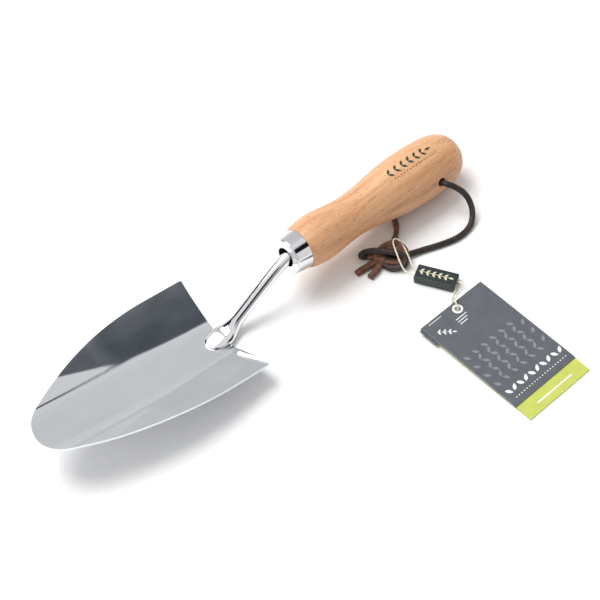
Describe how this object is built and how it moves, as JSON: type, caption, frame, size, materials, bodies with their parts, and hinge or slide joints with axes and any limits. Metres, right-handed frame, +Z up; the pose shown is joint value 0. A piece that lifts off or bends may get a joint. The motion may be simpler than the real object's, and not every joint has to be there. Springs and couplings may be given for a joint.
{
  "type": "hand trowel",
  "caption": "Hand trowel: a stainless scoop on a cranked round bar, a turned wooden handle with a ferrule, a knotted leather thong and a swing tag on a sealed string.",
  "frame": {"origin": "on the surface that the trowel lies on, under the middle of the trowel's box (thong, string and tag left out)", "axes": "+X from the blade's tip to the handle's butt, +Y to the trowel's left side seen from the butt, +Z up"},
  "size_m": [0.3183, 0.2054, 0.0426],
  "materials": {
    "blade_steel": "polished stainless sheet, fine lengthwise satin",
    "bar_steel": "polished round stainless bar",
    "ferrule_steel": "polished stainless",
    "handle_wood": "oiled beech, satin, short dark flecks along the grain",
    "thong_leather": "dark brown leather lace, smooth outside and lighter flesh side",
    "string": "cream waxed string",
    "seal_plastic": null,
    "plug_plastic": "cream moulding",
    "cover_card": "slate grey printed card, matt",
    "insert_card": "lime green printed card, matt",
    "eyelet_plastic": "white enamelled eyelet"
  },
  "bodies": {
    "root": {"blade": "blade_steel", "tang": "bar_steel", "ferrule": "ferrule_steel", "ferrule_pin": "ferrule_steel", "handle": "handle_wood", "thong_near_leg": "thong_leather", "thong_far_leg": "thong_leather", "thong_knot": "thong_leather", "thong_tail_long": "thong_leather", "thong_tail_short": "thong_leather", "string_loop": "string", "string_drop": "string", "seal_body": "seal_plastic", "seal_plug": "plug_plastic"},
    "tag": {"tag_cover": "cover_card", "tag_eyelet": "eyelet_plastic"},
    "insert": {"tag_insert": "insert_card"}
  },
  "joints": [
    {"name": "tag_swivel", "type": "hinge", "parent": "root", "child": "tag", "pos_m": [0.0778, -0.0828, 0.00245], "axis": [0, -0.0332, 0.9995], "range_deg": [-45, 10]},
    {"name": "insert_swivel", "type": "hinge", "parent": "tag", "child": "insert", "pos_m": [0.0778, -0.0828, 0.00245], "axis": [0, -0.0332, 0.9995], "range_deg": [-3, 3]}
  ]
}
